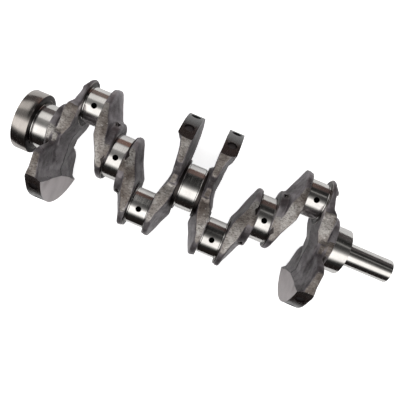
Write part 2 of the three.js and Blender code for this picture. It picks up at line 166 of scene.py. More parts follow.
def wobble(u, v, w, size, seed):
    """A smooth, repeatable unevenness of about -1 to 1, with bumps of the given size."""
    rng = np.random.default_rng(seed)
    total = 0
    for _ in range(6):
        direction = rng.normal(size=3)
        direction *= 2 * math.pi / size / np.linalg.norm(direction)
        phase = rng.uniform(0, 2 * math.pi)
        total = total + np.sin(direction[0] * u + direction[1] * v + direction[2] * w + phase)
    return total / 3


def arm_outline(end_radius):
    """The arm seen along the axis, as (v, w) points."""
    points = []
    low = WEB_LOW_END + WEB_HALF_WIDTH
    for a in np.linspace(math.pi / 2, 3 * math.pi / 2, 33):
        points.append((low + WEB_HALF_WIDTH * math.cos(a), WEB_HALF_WIDTH * math.sin(a)))
    centre = PIN_END_REACH - end_radius
    reach = math.asin(min(1, WEB_HALF_WIDTH / end_radius))
    if end_radius < WEB_HALF_WIDTH:
        points.append((NARROW_PIN_END_START, -WEB_HALF_WIDTH))
    for a in np.linspace(-reach, reach, 33):
        points.append((centre + end_radius * math.cos(a), end_radius * math.sin(a)))
    if end_radius < WEB_HALF_WIDTH:
        points.append((NARROW_PIN_END_START, WEB_HALF_WIDTH))
    return points


def bezier(a, b, c, d, count=10):
    t = np.linspace(0, 1, count)[:, None]
    a, b, c, d = (np.array(p, float) for p in (a, b, c, d))
    return (1 - t) ** 3 * a + 3 * (1 - t) ** 2 * t * b + 3 * (1 - t) * t * t * c + t ** 3 * d


def counterweight_outline():
    """The forging before its rim is turned, as (v, w) points."""
    half = COUNTERWEIGHT_HALF
    rough = COUNTERWEIGHT_RADIUS + FORGING_EXTRA
    angle = math.asin(half / rough)
    neck = bezier((NECK_TOP, 37), (-18, 37), (-15, 64), (NECK_END, half))
    right = [(8, 30), (0, 37)] + [tuple(p) for p in neck]
    turns = np.linspace(math.pi - angle, math.pi + angle, 41)
    rim = [(rough * math.cos(a), rough * math.sin(a)) for a in turns]
    left = [(v, -w) for v, w in reversed(right)]
    return right + rim + left


ARM_BROAD = polygon(arm_outline(BROAD_PIN_END_RADIUS))
ARM_NARROW = polygon(arm_outline(NARROW_PIN_END_RADIUS))
FAN = polygon(counterweight_outline())

# Sections through the crank plane (w = 0) and along the trimmed edge, as (u, v) points.
PLAIN_MIDDLE = polygon([
    (13.25, -36), (18, -36), (24.5, -23), (35.75, 12), (35.75, 76.5), (34.25, 81),
    (29, 81), (14, 44.5), (13.25, 42),
])
PLAIN_EDGE = polygon([
    (13, -36), (17.5, -36), (19, -22), (24, -6), (35, 16), (37, 32), (36.5, 60), (35.5, 81),
    (33, 81), (31.3, 69), (28.9, 55), (26.5, 45), (22, 35), (19.3, 17), (15.4, -3), (13.3, -14),
])
MIDDLE_MIDDLE = polygon([
    (13.25, -40), (28, -40), (28, -12), (35.75, 12), (35.75, 76.5), (34.25, 81),
    (29, 81), (14, 44.5), (13.25, 42),
])
MIDDLE_EDGE = polygon([
    (16.5, -40), (22, -40), (22.5, -14), (24, -5), (33, 12), (36.6, 25), (36.5, 60), (35.5, 81),
    (32, 81), (30.5, 60), (28.5, 46), (21, 28), (17.5, 12), (16.5, -8),
])
OUTER_MIDDLE = polygon([
    (13.25, -40), (31.5, -40), (32, -26), (29.6, -8), (35.75, 8), (35.75, 78), (33, 78),
    (29.5, 68), (27.5, 58), (25, 47), (20, 39), (13.25, 36),
])
OUTER_EDGE = polygon([
    (17, -40), (24, -40), (26, -22), (29.5, -12), (28.5, -2), (36, 15), (37.6, 28), (38, 38), (36.5, 46),
    (35.5, 78), (32, 78), (30, 60), (27, 47), (22, 42), (19.5, 34), (20.7, 19), (20, 5), (18.5, -12),
])
FAN_MIDDLE = polygon([
    (17.5, -95), (40, -95), (40, -53), (36.5, -51.5), (32.6, -45), (32, -26), (30, -8), (30, 5), (17.5, 5),
])
FAN_EDGE = polygon([
    (17.5, -95), (40, -95), (40, -60), (37, -58.5), (31.5, -55), (28.5, -42), (26, -27), (27, -8), (27, 5),
    (18.5, 5), (18.5, -8), (17, -27),
])
LUG = polygon([(22.6, 64.5), (23.8, 68.6), (30, 75.6), (34, 79), (34, 72), (29.5, 68), (28, 63)])


def softened(w):
    """The distance from the crank plane, rounded a little where the two dies met."""
    return np.sqrt(w * w + 1.5 ** 2) - 1.5


def trimmed_half(v):
    """Half the arm's width after trimming; the trimmed face falls a little towards its ends."""
    return WEB_HALF_WIDTH - 0.1 - TRIM_CROWN * (v - TRIM_MIDDLE) ** 2


def arm_field(u, v, w, middle, edge, outline):
    share = np.clip(softened(w) / WEB_HALF_WIDTH, 0, 1.05)
    body = (1 - share) * middle(u, v) + share * edge(u, v)
    body = blend_max(body, outline(v, w), 2.5)
    return blend_max(body, np.abs(w) - trimmed_half(v), 1.2)


def boss_field(u, v, w, offset):
    """The boss over the end of the main journal, with a shallow step round its face."""
    ring = drum(u, v, w, 9.4, 18.0, 35.2, offset, 1.2)
    step = drum(u, v, w, 8.9, 18.0, 32.4, offset - 1.0, 0.5)
    return np.minimum(ring, step)


def skin(u, v, w, seed):
    return 0.22 * wobble(u, v, w, 23.0, seed) + 0.10 * wobble(u, v, w, 9.0, seed + 1)


def cleared(body, u, v, w):
    """Leaves the main journal's space free beside the boss."""
    inside = np.maximum(np.sqrt(v * v + w * w) - 30.3, u - WEB_START)
    return np.maximum(body, -inside)


def parting_line(v):
    """Where the dies met on the pin side, wandering a little off the crank plane."""
    return 1.3 * np.sin(v / 6.0) + 0.7 * np.sin(v / 2.3 + 1.0)


def plain_field(u, v, w):
    body = arm_field(u, v, w, PLAIN_MIDDLE, PLAIN_EDGE, ARM_BROAD)
    body = blend_min(body, boss_field(u, v, w, 8.0), 3.0)
    body = body + skin(u, v, w, 3)
    return cleared(body, u, v, w)


def fan_field(u, v, w):
    spread = np.clip((NECK_TOP - v) / (NECK_TOP - NECK_END), 0, 1) ** 1.3
    widening = WEB_HALF_WIDTH + (COUNTERWEIGHT_HALF - WEB_HALF_WIDTH) * spread
    rim = np.sqrt(np.maximum(COUNTERWEIGHT_RADIUS ** 2 - v * v, 1))
    half = np.where(v > -COUNTERWEIGHT_SHOULDER, COUNTERWEIGHT_HALF, rim)
    half = np.where(v > NECK_TOP, WEB_HALF_WIDTH, np.where(v > NECK_END, widening, half))
    share = np.clip(softened(w) / np.maximum(half, 30.0), 0, 1.05)
    body = (1 - share) * FAN_MIDDLE(u, v) + share * FAN_EDGE(u, v)
    body = blend_max(body, FAN(v, w), 3.0)
    for side in (1, -1):
        hollow = ball(u, v, w, (38.0, -24, side * 31), 1.0, (12.5, 19, 23))
        body = blend_max(body, -6.0 * hollow, 3.0)
    ridge = (w - parting_line(v)) / 1.1
    return body - 0.7 * np.exp(-ridge * ridge) * np.clip((v + 54) / 3, 0, 1) * (u > 25)


def outer_field(u, v, w):
    body = arm_field(u, v, w, OUTER_MIDDLE, OUTER_EDGE, ARM_NARROW)
    body = blend_min(body, fan_field(u, v, w), 4.0)
    body = blend_min(body, boss_field(u, v, w, 3.0), 3.0)
    cone = (np.sqrt((v - THROW) ** 2 + w * w) - 31.8 + 2.5 * (33.5 - u)) / 2.7
    plate = blend_max(drum(u, v, w, 27.0, 35.9, 31.9, THROW, 0.8), cone, 0.8)
    body = blend_min(body, plate, 2.0)
    lug = blend_max(LUG(u, v), np.abs(w) - 9.0, 1.5)
    body = blend_min(body, lug, 1.0)
    body = body + skin(u, v, w, 5)
    return cleared(body, u, v, w)


def middle_field(u, v, w):
    body = arm_field(u, v, w, MIDDLE_MIDDLE, MIDDLE_EDGE, ARM_BROAD)
    body = blend_min(body, fan_field(u, v, w), 4.0)
    body = body + skin(u, v, w, 7)
    return cleared(body, u, v, w)


# ---- a skin over a field ------------------------------------------------------------------

def surface(field, low, high, pitch):
    """Vertices and quads of the surface where the field is zero."""
    axes = [np.arange(a, b + pitch, pitch) for a, b in zip(low, high)]
    grid = np.ix_(*axes)
    values = field(*grid)
    inside = values < 0
    n = np.array(values.shape) - 1
    corner = [(i, j, k) for i in (0, 1) for j in (0, 1) for k in (0, 1)]

    def at(array, c):
        return array[c[0]:n[0] + c[0], c[1]:n[1] + c[1], c[2]:n[2] + c[2]]

    count = sum(at(inside, c).astype(np.int8) for c in corner)
    active = (count > 0) & (count < 8)
    index = np.full(active.shape, -1, np.int64)
    index[active] = np.arange(active.sum())
    total = np.zeros((active.sum(), 3))
    hits = np.zeros(active.sum())
    for a in corner:
        for axis in range(3):
            if a[axis]:
                continue
            b = tuple(1 if i == axis else c for i, c in enumerate(a))
            fa, fb = at(values, a)[active], at(values, b)[active]
            cross = (fa < 0) != (fb < 0)
            t = np.where(cross, fa / np.where(cross, fa - fb, 1), 0)
            p = np.tile(np.array(a, float), (len(t), 1))
            p[:, axis] += t
            total += p * cross[:, None]
            hits += cross
    cells = np.argwhere(active)
    points = (cells + total / hits[:, None]) * pitch + np.array(low)
    quads = []
    for axis in range(3):
        o1, o2 = [a for a in range(3) if a != axis]
        first = [slice(1, -1)] * 3
        first[axis] = slice(0, -1)
        second = list(first)
        second[axis] = slice(1, None)
        fa, fb = inside[tuple(first)], inside[tuple(second)]
        for turned, mask in ((False, fa & ~fb), (True, ~fa & fb)):
            where = np.argwhere(mask)
            where[:, [o1, o2]] += 1
            rings = []
            for d1, d2 in ((-1, -1), (0, -1), (0, 0), (-1, 0)):
                c = where.copy()
                c[:, o1] += d1
                c[:, o2] += d2
                rings.append(index[c[:, 0], c[:, 1], c[:, 2]])
            ring = np.stack(rings, 1)
            flip = turned != (axis == 1)
            quads.append(ring[:, ::-1] if flip else ring)
    quads = np.concatenate(quads)
    for _ in range(4):
        points = onto_surface(field, relaxed(points, quads), pitch)
    return onto_surface(field, points, pitch), quads


def relaxed(points, quads):
    """Each vertex moved half way to the middle of its neighbours."""
    total = np.zeros_like(points)
    count = np.zeros(len(points))
    for a in range(4):
        first, second = quads[:, a], quads[:, (a + 1) % 4]
        for one, other in ((first, second), (second, first)):
            np.add.at(total, one, points[other])
            np.add.at(count, one, 1)
    return 0.5 * points + 0.5 * total / np.maximum(count, 1)[:, None]


def onto_surface(field, points, pitch):
    """One damped Newton step towards the surface."""
    step = 0.05
    u, v, w = points.T
    f = field(u, v, w)
    slope = np.stack([
        field(u + step, v, w) - field(u - step, v, w),
        field(u, v + step, w) - field(u, v - step, w),
        field(u, v, w + step) - field(u, v, w - step),
    ], 1) / (2 * step)
    move = -f[:, None] * slope / np.maximum((slope * slope).sum(1), 0.05)[:, None]
    length = np.linalg.norm(move, axis=1, keepdims=True)
    return points + move * np.minimum(1, 0.4 * pitch / np.maximum(length, 1e-9))


def mesh_object(name, points, faces, smooth=True):
    mesh = bpy.data.meshes.new(name)
    mesh.from_pydata([tuple(p) for p in points], [], [tuple(f) for f in faces])
    mesh.validate()
    mesh.update()
    if smooth:
        mesh.shade_smooth()
    obj = bpy.data.objects.new(name, mesh)
    bpy.context.scene.collection.objects.link(obj)
    return obj


# ---- turned and drilled solids -------------------------------------------------------------

def lathe(name, profile, segments=160):
    """A turned solid about the X axis from (x, radius) pairs; the ends on the axis are closed."""
    points, faces = [], []
    ring_start = []
    for x, r in profile:
        ring_start.append((len(points), r))
        if r < 1e-6:
            points.append((x, 0, 0))
            continue
        for i in range(segments):
            a = 2 * math.pi * i / segments
            points.append((x, r * math.cos(a), r * math.sin(a)))
    for (s0, r0), (s1, r1) in zip(ring_start, ring_start[1:]):
        for i in range(segments):
            j = (i + 1) % segments
            if r0 < 1e-6 and r1 < 1e-6:
                continue
            if r0 < 1e-6:
                faces.append((s0, s1 + i, s1 + j))
            elif r1 < 1e-6:
                faces.append((s0 + j, s0 + i, s1))
            else:
                faces.append((s0 + i, s1 + i, s1 + j, s0 + j))
    obj = mesh_object(name, points, faces)
    bm = bmesh.new()
    bm.from_mesh(obj.data)
    bmesh.ops.recalc_face_normals(bm, faces=bm.faces)
    bm.to_mesh(obj.data)
    bm.free()
    return obj


def rod(name, start, end, radius, segments=48):
    """A plain round bar between two points, used as a cutter."""
    start, end = Vector(start), Vector(end)
    length = (end - start).length
    obj = lathe(name, [(0, 0), (0, radius), (length, radius), (length, 0)], segments)
    turn = Vector((1, 0, 0)).rotation_difference((end - start).normalized())
    obj.data.transform(Matrix.Translation(start) @ turn.to_matrix().to_4x4())
    return obj


def boolean(obj, cutter, operation="DIFFERENCE"):
    modifier = obj.modifiers.new("cut", "BOOLEAN")
    modifier.operation = operation
    modifier.solver = "EXACT"
    modifier.object = cutter
    modifier.material_mode = "TRANSFER"
    depsgraph = bpy.context.evaluated_depsgraph_get()
    made = bpy.data.meshes.new_from_object(obj.evaluated_get(depsgraph))
    old = obj.data
    obj.modifiers.clear()
    obj.data = made
    bpy.data.meshes.remove(old)
    bpy.data.objects.remove(cutter)


def sharpen(obj, degrees=32):
    """Smooth shading that keeps edges sharper than the given angle."""
    obj.data.shade_smooth()
    bm = bmesh.new()
    bm.from_mesh(obj.data)
    for e in bm.edges:
        if len(e.link_faces) == 2 and e.calc_face_angle(0) > math.radians(degrees):
            e.smooth = False
    bm.to_mesh(obj.data)
    bm.free()


def place(obj, x, direction=1, side=1):
    """From web coordinates in millimetres to the frame, in metres, mirrored as asked."""
    matrix = Matrix.Diagonal((direction * MM, side * MM, MM, 1))
    obj.data.transform(Matrix.Translation(((x + AXIS_SHIFT) * MM, 0, 0)) @ matrix)
    if direction * side < 0:
        obj.data.flip_normals()


# ---- materials ------------------------------------------------------------------------------

class Look:
    """A small helper that lays out a material's nodes."""

    def __init__(self, name):
        self.material = bpy.data.materials.new(name)
        self.material.use_nodes = True
        self.tree = self.material.node_tree
        self.bsdf = self.tree.nodes["Principled BSDF"]

    def node(self, kind, values=None, **settings):
        node = self.tree.nodes.new(kind)
        for key, value in settings.items():
            setattr(node, key, value)
        for key, value in (values or {}).items():
            if isinstance(value, bpy.types.NodeSocket):
                self.tree.links.new(value, node.inputs[key])
            else:
                node.inputs[key].default_value = value
        return node

    def position(self, scale=(1000, 1000, 1000), offset=(0, 0, 0)):
        """Object coordinates in millimetres, stretched."""
        coordinates = self.node("ShaderNodeTexCoord").outputs["Object"]
        mapping = self.node("ShaderNodeMapping", {"Vector": coordinates, "Scale": scale, "Location": offset})
        return mapping.outputs["Vector"]

    def noise(self, vector, scale, detail=3.0, roughness=0.5):
        values = {"Vector": vector, "Scale": scale, "Detail": detail, "Roughness": roughness}
        return self.node("ShaderNodeTexNoise", values).outputs["Fac"]

    def ramp(self, fac, stops):
        node = self.node("ShaderNodeValToRGB", {"Fac": fac})
        elements = node.color_ramp.elements
        while len(elements) < len(stops):
            elements.new(0.5)
        for element, (position, colour) in zip(elements, stops):
            element.position = position
            element.color = (*colour, 1) if len(colour) == 3 else colour
        return node.outputs["Color"]

    def span(self, fac, low, high, low_in=0.0, high_in=1.0):
        values = {"Value": fac, "From Min": low_in, "From Max": high_in, "To Min": low, "To Max": high}
        return self.node("ShaderNodeMapRange", values).outputs["Result"]

    def mix(self, fac, a, b):
        node = self.tree.nodes.new("ShaderNodeMix")
        node.data_type = "RGBA"
        for socket, value in zip((node.inputs[0], node.inputs[6], node.inputs[7]), (fac, a, b)):
            if isinstance(value, bpy.types.NodeSocket):
                self.tree.links.new(value, socket)
            elif isinstance(value, tuple):
                socket.default_value = (*value, 1)
            else:
                socket.default_value = value
        return node.outputs[2]

    def math(self, operation, a, b=0.0):
        return self.node("ShaderNodeMath", {0: a, 1: b}, operation=operation).outputs[0]

    def crevice_shade(self, reach):
        """0 in tight corners, 1 in the open: the mask for painted shade in corners and creases."""
        node = self.node("ShaderNodeAmbientOcclusion", {"Distance": reach}, samples=8)
        return node.outputs["AO"]

    def bump(self, height, strength, distance=0.001, normal=None):
        values = {"Height": height, "Strength": strength, "Distance": distance}
        if normal is not None:
            values["Normal"] = normal
        return self.node("ShaderNodeBump", values).outputs["Normal"]

    def surface(self, **values):
        names = {"color": "Base Color", "metallic": "Metallic", "roughness": "Roughness",
                 "normal": "Normal", "specular": "Specular IOR Level"}
        for key, value in values.items():
            socket = self.bsdf.inputs[names[key]]
            if isinstance(value, bpy.types.NodeSocket):
                self.tree.links.new(value, socket)
            elif isinstance(value, tuple):
                socket.default_value = (*value, 1)
            else:
                socket.default_value = value
        return self.material


def ground_steel(name="ground_steel", base=(0.70, 0.685, 0.665), rough=(0.10, 0.2), marks=0.05):
    look = Look(name)
    rings = look.noise(look.position((2600, 12, 12)), 1.0, 2.0)
    fine = look.noise(look.position((900, 30, 30)), 1.0, 3.0)
    cloud = look.noise(look.position((60, 60, 60)), 1.0, 3.0)
    dark = tuple(c * 0.86 for c in base)
    color = look.mix(look.span(cloud, 0.0, 1.0, 0.35, 0.65), dark, base)
    roughness = look.span(fine, rough[0], rough[1], 0.3, 0.7)
    normal = look.bump(rings, marks, 0.0002)
    return look.surface(color=color, metallic=1.0, roughness=roughness, normal=normal)


def forged_steel(name="forged_steel", shade=1.0):
    look = Look(name)
    grain = look.noise(look.position(), 0.9, 4.0, 0.6)
    coarse = look.noise(look.position(), 0.25, 3.0)
    stain = look.noise(look.position(offset=(31, 7, 3)), 0.04, 3.0, 0.6)
    tones = ((0.34, (0.085, 0.074, 0.078)), (0.5, (0.185, 0.168, 0.178)), (0.66, (0.33, 0.308, 0.32)))
    base = look.ramp(stain, [(at, tuple(shade * c for c in tone)) for at, tone in tones])
    spotted = look.mix(look.span(grain, 0.0, 0.4 * shade, 0.5, 0.75), base, (0.36, 0.34, 0.35))
    # Painted shade: the colour falls to near-black in corners and creases.
    color = look.mix(look.span(look.crevice_shade(0.016), 1.0, 0.0, 0.45, 0.97), spotted, (0.022, 0.016, 0.016))
    roughness = look.span(coarse, 0.27, 0.42, 0.3, 0.7)
    height = look.math("ADD", look.math("MULTIPLY", grain, 0.5), coarse)
    normal = look.bump(height, 0.45, 0.0008)
    return look.surface(color=color, metallic=0.65, roughness=roughness, normal=normal)


def trimmed_steel():
    look = Look("trimmed_steel")
    grain = look.noise(look.position(), 0.4, 4.0, 0.7)
    waves = {"Vector": look.position((330, 620, 330)), "Scale": 1.0, "Detail": 3.0, "Distortion": 0.8}
    ripple = look.node("ShaderNodeTexNoise", waves).outputs["Fac"]
    specks = look.noise(look.position(offset=(9, 40, 2)), 0.35, 2.0, 0.5)
    coarse = look.noise(look.position(), 0.035, 3.0, 0.6)
    base = look.ramp(coarse, [(0.34, (0.13, 0.108, 0.094)), (0.46, (0.23, 0.205, 0.187)),
                              (0.56, (0.33, 0.307, 0.288)), (0.68, (0.50, 0.48, 0.46))])
    waved = look.mix(look.span(ripple, 0.6, 0.0, 0.38, 0.54), base, (0.05, 0.04, 0.036))
    spotted = look.mix(look.span(specks, 0.0, 0.4, 0.65, 0.77), waved, (0.8, 0.78, 0.76))
    # Painted shade: the colour falls to near-black in corners and creases.
    color = look.mix(look.span(look.crevice_shade(0.01), 0.9, 0.0, 0.3, 0.85), spotted, (0.02, 0.014, 0.012))
    roughness = look.span(grain, 0.40, 0.26, 0.3, 0.7)
    normal = look.bump(look.math("ADD", grain, ripple), 0.5, 0.0007)
    return look.surface(color=color, metallic=0.75, roughness=roughness, normal=normal)


def machined_steel():
    look = Look("machined_steel")
    fine = look.noise(look.position(), 0.7, 3.0)
    cloud = look.noise(look.position(), 0.05, 2.0)
    color = look.ramp(cloud, [(0.3, (0.41, 0.372, 0.376)), (0.7, (0.53, 0.487, 0.49))])
    roughness = look.span(fine, 0.34, 0.48, 0.3, 0.7)
    normal = look.bump(fine, 0.1, 0.0003)
    return look.surface(color=color, metallic=0.5, roughness=roughness, normal=normal)


def rim_steel():
    look = Look("rim_steel")
    fine = look.noise(look.position((600, 60, 60)), 1.0, 3.0)
    cloud = look.noise(look.position(), 0.08, 3.0)
    color = look.ramp(cloud, [(0.3, (0.009, 0.006, 0.0055)), (0.7, (0.02, 0.014, 0.013))])
    roughness = look.span(fine, 0.2, 0.34, 0.3, 0.7)
    look.bsdf.inputs["IOR"].default_value = 1.75
    normal = look.bump(fine, 0.05, 0.0003)
    return look.surface(color=color, metallic=0.0, roughness=roughness, normal=normal)


def small_part(name, base, rough):
    look = Look(name)
    grain = look.noise(look.position(), 1.5, 3.0)
    cloud = look.noise(look.position(), 0.15, 2.0)
    color = look.mix(look.span(cloud, 0, 1, 0.35, 0.65), tuple(0.8 * c for c in base), base)
    roughness = look.span(grain, rough - 0.07, rough + 0.07, 0.3, 0.7)
    normal = look.bump(grain, 0.08, 0.0002)
    return look.surface(color=color, metallic=1.0, roughness=roughness, normal=normal)


# Near-black walls for drilled holes: painted shade in the recesses.
def painted_hole_shade():
    look = Look("painted_hole_shade")
    mottle = look.noise(look.position(), 0.4, 2.0)
    color = look.ramp(mottle, [(0.3, (0.006, 0.005, 0.005)), (0.7, (0.016, 0.014, 0.013))])
    return look.surface(color=color, metallic=0.2, roughness=look.span(mottle, 0.45, 0.6, 0.3, 0.7))


GROUND = ground_steel()
SEAL = ground_steel("seal_steel", (0.44, 0.41, 0.385), (0.14, 0.26), 0.02)
FACED = ground_steel("faced_steel", (0.05, 0.044, 0.042), (0.25, 0.4), 0.05)
HOLE_SHADE = painted_hole_shade()
FORGED = forged_steel()
TRIMMED = trimmed_steel()
MACHINED = machined_steel()
RIM = rim_steel()
# A near-black forged tone for the strip along the parting line: painted shade beside its ridge.
SEAM_SHADE = forged_steel("parting_seam_shade", 0.12)
# A darker forged tone for the shallow balance holes: painted shade in these recesses.
DIMPLE_SHADE = forged_steel("drill_mark_shade", 0.3)
PLUG = small_part("plug_steel", (0.26, 0.24, 0.235), 0.4)
BRONZE = small_part("bush_bronze", (0.62, 0.40, 0.17), 0.3)
DOWEL = small_part("dowel_steel", (0.50, 0.48, 0.46), 0.22)
KEY = small_part("key_steel", (0.33, 0.32, 0.31), 0.36)


# ---- webs -------------------------------------------------------------------------------------

PITCH = 1.0


def forged_web(name, field, low_v, half_w, cuts, seam_shade):
    points, quads = surface(field, (5.0, low_v, -half_w - 3), (43.0, 84.0, half_w + 3), PITCH)
    web = mesh_object(name, points, quads)
    for material in (FORGED, TRIMMED, MACHINED, RIM, HOLE_SHADE, SEAM_SHADE):
        web.data.materials.append(material)
    normals = np.zeros(len(web.data.polygons) * 3)
    centres = np.zeros(len(web.data.polygons) * 3)
    web.data.polygons.foreach_get("normal", normals)
    web.data.polygons.foreach_get("center", centres)
    normals, centres = normals.reshape(-1, 3), centres.reshape(-1, 3)
    v, w = centres[:, 1], centres[:, 2]
    flat = (np.abs(normals[:, 2]) > 0.93) & (np.abs(w) > trimmed_half(v) - 0.8)
    index = flat.astype(np.int32)
    # Painted shade: faces along the parting line on the pin side take the near-black seam tone.
    if seam_shade:
        on_seam_shade = (np.abs(w - parting_line(v)) < 1.2) & (normals[:, 0] > 0.2) & (v > -52) & (v < 10)
        index[on_seam_shade] = 5
    web.data.polygons.foreach_set("material_index", index)
    for cutter, operation in cuts():
        boolean(web, cutter, operation)
    sharpen(web, 38)
    return web


def block(name, low, high, material):
    (a, b, c), (d, e, f) = low, high
    points = [(x, y, z) for x in (a, d) for y in (b, e) for z in (c, f)]
    faces = [(0, 1, 3, 2), (4, 6, 7, 5), (0, 4, 5, 1), (2, 3, 7, 6), (0, 2, 6, 4), (1, 5, 7, 3)]
    obj = mesh_object(name, points, faces, smooth=False)
    obj.data.materials.append(material)
    return obj


PLUG_MOUTH = Vector((18, 37, 16))
PLUG_INWARD = Vector((1, -0.42, -0.45)).normalized()
PLUG_SEAT_RADIUS = 4.15
PLUG_SEAT_DEPTH = 4.3
PLUG_RADIUS = 4.0
PLUG_PROUD = 1.2
SIDE_TRIM = 69.95


def machining_envelope():
    """What turning the rim and facing the pin side leave of a counterweight web."""
    radius = COUNTERWEIGHT_RADIUS
    drum_ = lathe("envelope", [(4, 0), (4, radius), (WEB_END, radius), (WEB_END, 0)], 240)
    drum_.data.materials.append(RIM)
    drum_.data.materials.append(MACHINED)
    for polygon_ in drum_.data.polygons:
        if abs(polygon_.normal.x) > 0.9:
            polygon_.material_index = 1
    return drum_


def balance_cutters():
    for angle, depth in BALANCE_HOLES:
        a = math.radians(angle)
        direction = Vector((0, -math.cos(a), math.sin(a)))
        start = direction * (COUNTERWEIGHT_RADIUS - depth) + Vector((RIM_MIDDLE, 0, 0))
        end = direction * (COUNTERWEIGHT_RADIUS + FORGING_EXTRA) + Vector((RIM_MIDDLE, 0, 0))
        cutter = rod("balance", start, end, BALANCE_RADIUS)
        # Deep holes take the near-black painted hole shade, shallow ones the darker painted dimple shade.
        cutter.data.materials.append(HOLE_SHADE if depth > SHALLOW_HOLE else DIMPLE_SHADE)
        yield cutter, "DIFFERENCE"


def counterweight_cuts():
    yield machining_envelope(), "INTERSECT"
    low, high = (4, -100, -SIDE_TRIM), (WEB_END + 1, 100, SIDE_TRIM)
    yield block("sides", low, high, TRIMMED), "INTERSECT"
    yield from balance_cutters()


def plain_cuts():
    yield block("limit", (4, -100, -60), (WEB_END, 100, 60), MACHINED), "INTERSECT"
    start, end = PLUG_MOUTH - 6 * PLUG_INWARD, PLUG_MOUTH + PLUG_SEAT_DEPTH * PLUG_INWARD
    seat = rod("seat", start, end, PLUG_SEAT_RADIUS)
    seat.data.materials.append(FORGED)
    yield seat, "DIFFERENCE"


def gallery_plug(number):
    """A driven plug with a shallow cup in its face."""
    profile = [(0.5, 0), (0.5, 2.0), (-0.45, 2.4), (-0.75, 2.7), (-0.75, 3.6)]
    profile += [(-0.4, PLUG_RADIUS), (4.0, PLUG_RADIUS), (4.0, 0)]
    plug = lathe(f"driven_plug_{number}", profile, 48)
    plug.data.materials.append(PLUG)
    sharpen(plug, 30)
    turn = Vector((1, 0, 0)).rotation_difference(PLUG_INWARD)
    middle = PLUG_MOUTH - PLUG_PROUD * PLUG_INWARD
    plug.data.transform(Matrix.Translation(middle) @ turn.to_matrix().to_4x4())
    return plug


def build_webs():
    half = COUNTERWEIGHT_HALF
    plain = forged_web("plain", plain_field, -42.0, WEB_HALF_WIDTH, plain_cuts, False)
    outer = forged_web("outer", outer_field, -97.0, half, counterweight_cuts, True)
    middle = forged_web("middle", middle_field, -97.0, half, counterweight_cuts, True)
    for number in range(1, 9):
        cylinder = (number - 1) // 2
        direction = 1 if number % 2 else -1
        main = cylinder if number % 2 else cylinder + 1
        if main in (1, 3):
            source, node = plain, f"plain_web_{number}"
        else:
            source, node = (middle if main == 2 else outer), f"counterweight_web_{number}"
        piece = bpy.data.objects.new(f"forged_web_{number}", source.data.copy())
        bpy.context.scene.collection.objects.link(piece)
        place(piece, MAIN_X[main], direction, PIN_SIDE[cylinder])
        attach(piece, "root")
        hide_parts(node)
        if source is plain:
            plug = gallery_plug(cylinder + 1)
            place(plug, MAIN_X[main], direction, PIN_SIDE[cylinder])
            finish_piece(plug, f"gallery_plug_{cylinder + 1}")
    for source in (plain, outer, middle):
        bpy.data.objects.remove(source)


# ---- journals -----------------------------------------------------------------------------------

def journal_profile(radius, half, collar, rings=()):
    """A ground journal with rolled grooves, and the faced collar of the web at each end."""
    groove = radius - GROOVE_DEPTH
    buried = half + COLLAR + COLLAR_ROOT
    steps = [(buried, 0), (buried, collar), (half + 0.35, collar), (half, collar - 0.35)]
    for ring in rings:
        steps += [(half, ring + 0.5), (half + 0.35, ring + 0.25)]
        steps += [(half + 0.35, ring - 0.25), (half, ring - 0.5)]
    steps.append((half, groove))
    for a in np.linspace(0, math.pi / 2, 5)[1:]:
        steps.append((half - GROOVE_WIDTH * math.sin(a) * 0.9, groove - 0.25 * math.sin(2 * a)))
    steps += [(half - GROOVE_WIDTH, groove + 0.1), (half - GROOVE_WIDTH - 0.25, radius)]
    return [(-x, r) for x, r in steps] + list(reversed(steps))


def finish_piece(piece, node):
    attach(piece, "root")
    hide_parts(node)


def radius_of(polygon_):
    return math.hypot(polygon_.center.y, polygon_.center.z)


def darken_collars(piece, start, collar, end=100.0):
    """The webs' faced rings take a duller steel; their turned edges stay bright."""
    piece.data.materials.append(FACED)
    piece.data.materials.append(SEAL)
    for polygon_ in piece.data.polygons:
        square = abs(polygon_.normal.x)
        if abs(polygon_.center.x) > start and polygon_.center.x < end:
            polygon_.material_index = 2 if 0.3 < square < 0.95 and radius_of(polygon_) > collar - 1 else 1


def oil_hole(piece, radius):
    hole = rod("hole", (0, 0, -2), (0, 0, radius + 3), OIL_HOLE_RADIUS)
    # The hole's wall takes the near-black painted hole shade.
    hole.data.materials.append(HOLE_SHADE)
    boolean(piece, hole)
    funnel = lathe("funnel", [(0, 0), (0, OIL_HOLE_RADIUS - 0.6), (1.6, OIL_HOLE_RADIUS + 0.6), (1.6, 0)], 48)
    funnel.data.materials.append(GROUND)
    turn = Matrix.Rotation(-math.pi / 2, 4, "Y")
    funnel.data.transform(Matrix.Translation((0, 0, radius - 0.9)) @ turn)
    boolean(piece, funnel)


